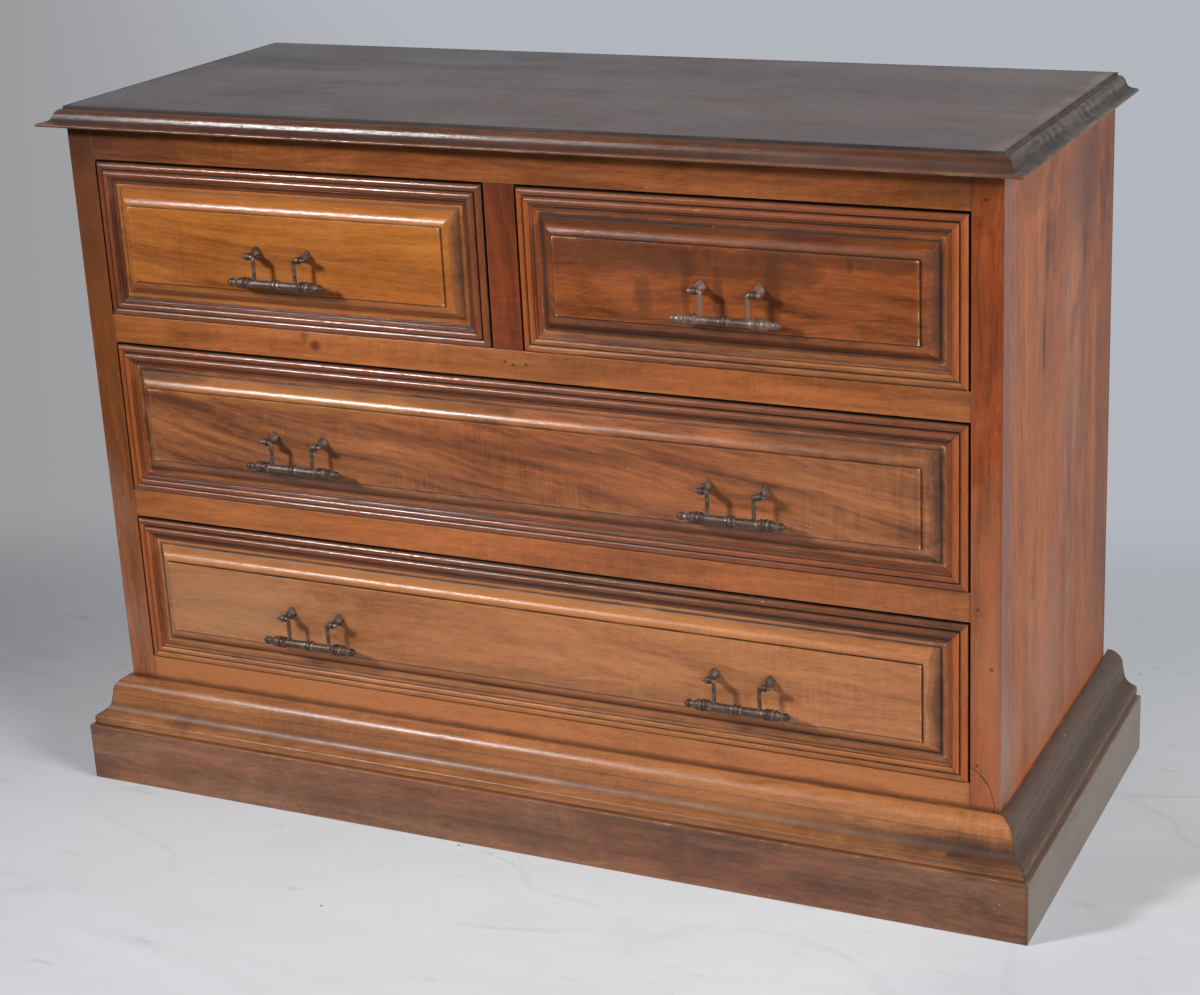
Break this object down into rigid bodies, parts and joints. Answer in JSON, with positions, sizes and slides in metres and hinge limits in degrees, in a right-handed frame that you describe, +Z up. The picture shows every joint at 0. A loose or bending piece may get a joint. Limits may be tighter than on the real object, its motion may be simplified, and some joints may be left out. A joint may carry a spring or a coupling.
{
  "type": "chest of drawers",
  "caption": "Wooden chest with short drawers over long ones, raised-panel fronts, drop bail handles, a moulded top and an ogee base moulding on a plinth.",
  "frame": {"origin": "centre of the footprint (plinth) at floor level", "axes": "+X to the right seen from the front, +Y to the back, +Z up; the drawers open towards -Y"},
  "size_m": [1.1732, 0.4916, 0.822],
  "materials": {
    "top_wood": "satin varnish, dark",
    "top_moulding_wood": "glossy varnish, dark",
    "frame_wood": "varnished",
    "side_wood": "satin varnish",
    "drawer_front_wood": "varnished, golden",
    "drawer_moulding_wood": "varnished, worn edges",
    "base_wood": "varnished, scuffed",
    "plain_wood": "planed, unfinished",
    "ply": "plywood, unfinished",
    "handle_iron": "dark bronzed, worn"
  },
  "bodies": {
    "carcass": {"top_board": "top_wood", "top_moulding_front": "top_moulding_wood", "top_moulding_left": "top_moulding_wood", "top_moulding_right": "top_moulding_wood", "side_panel_left": "side_wood", "side_panel_right": "side_wood", "front_stile_left": "frame_wood", "front_stile_right": "frame_wood", "top_rail": "frame_wood", "upper_drawer_rail": "frame_wood", "lower_drawer_rail": "frame_wood", "bottom_rail": "frame_wood", "centre_muntin": "frame_wood", "plinth_front": "base_wood", "plinth_left": "base_wood", "plinth_right": "base_wood", "plinth_back": "plain_wood", "base_moulding_front": "base_wood", "base_moulding_left": "base_wood", "base_moulding_right": "base_wood", "back_panel": "ply", "rear_rails": "plain_wood", "plinth_battens": "plain_wood", "drawer_runners": "plain_wood", "drawer_guides": "plain_wood", "drawer_stops": "plain_wood"},
    "top_left_drawer": {"top_left_drawer_front": "drawer_front_wood", "top_left_drawer_front_moulding": "drawer_moulding_wood", "top_left_drawer_sides": "plain_wood", "top_left_drawer_back": "plain_wood", "top_left_drawer_bottom": "ply", "top_left_drawer_handle_posts": "handle_iron", "top_left_drawer_handle_nuts": "handle_iron"},
    "top_left_handle": {"top_left_bail": "handle_iron"},
    "top_right_drawer": {"top_right_drawer_front": "drawer_front_wood", "top_right_drawer_front_moulding": "drawer_moulding_wood", "top_right_drawer_sides": "plain_wood", "top_right_drawer_back": "plain_wood", "top_right_drawer_bottom": "ply", "top_right_drawer_handle_posts": "handle_iron", "top_right_drawer_handle_nuts": "handle_iron"},
    "top_right_handle": {"top_right_bail": "handle_iron"},
    "middle_drawer": {"middle_drawer_front": "drawer_front_wood", "middle_drawer_front_moulding": "drawer_moulding_wood", "middle_drawer_sides": "plain_wood", "middle_drawer_back": "plain_wood", "middle_drawer_bottom": "ply", "middle_drawer_handle_posts": "handle_iron", "middle_drawer_handle_nuts": "handle_iron"},
    "middle_left_handle": {"middle_left_bail": "handle_iron"},
    "middle_right_handle": {"middle_right_bail": "handle_iron"},
    "bottom_drawer": {"bottom_drawer_front": "drawer_front_wood", "bottom_drawer_front_moulding": "drawer_moulding_wood", "bottom_drawer_sides": "plain_wood", "bottom_drawer_back": "plain_wood", "bottom_drawer_bottom": "ply", "bottom_drawer_handle_posts": "handle_iron", "bottom_drawer_handle_nuts": "handle_iron"},
    "bottom_left_handle": {"bottom_left_bail": "handle_iron"},
    "bottom_right_handle": {"bottom_right_bail": "handle_iron"}
  },
  "joints": [
    {"name": "top_left_drawer_slide", "type": "slide", "parent": "carcass", "child": "top_left_drawer", "axis": [0, -1, 0], "range_m": [0, 0.3]},
    {"name": "top_left_bail_swing", "type": "hinge", "parent": "top_left_drawer", "child": "top_left_handle", "pos_m": [-0.265, -0.2367, 0.672], "axis": [-1, 0, 0], "range_deg": [-20, 200]},
    {"name": "top_right_drawer_slide", "type": "slide", "parent": "carcass", "child": "top_right_drawer", "axis": [0, -1, 0], "range_m": [0, 0.3]},
    {"name": "top_right_bail_swing", "type": "hinge", "parent": "top_right_drawer", "child": "top_right_handle", "pos_m": [0.265, -0.2367, 0.672], "axis": [-1, 0, 0], "range_deg": [-20, 200]},
    {"name": "middle_drawer_slide", "type": "slide", "parent": "carcass", "child": "middle_drawer", "axis": [0, -1, 0], "range_m": [0, 0.3]},
    {"name": "middle_left_bail_swing", "type": "hinge", "parent": "middle_drawer", "child": "middle_left_handle", "pos_m": [-0.265, -0.2367, 0.4585], "axis": [-1, 0, 0], "range_deg": [-20, 200]},
    {"name": "middle_right_bail_swing", "type": "hinge", "parent": "middle_drawer", "child": "middle_right_handle", "pos_m": [0.265, -0.2367, 0.4585], "axis": [-1, 0, 0], "range_deg": [-20, 200]},
    {"name": "bottom_drawer_slide", "type": "slide", "parent": "carcass", "child": "bottom_drawer", "axis": [0, -1, 0], "range_m": [0, 0.3]},
    {"name": "bottom_left_bail_swing", "type": "hinge", "parent": "bottom_drawer", "child": "bottom_left_handle", "pos_m": [-0.265, -0.2367, 0.245], "axis": [-1, 0, 0], "range_deg": [-20, 200]},
    {"name": "bottom_right_bail_swing", "type": "hinge", "parent": "bottom_drawer", "child": "bottom_right_handle", "pos_m": [0.265, -0.2367, 0.245], "axis": [-1, 0, 0], "range_deg": [-20, 200]}
  ]
}
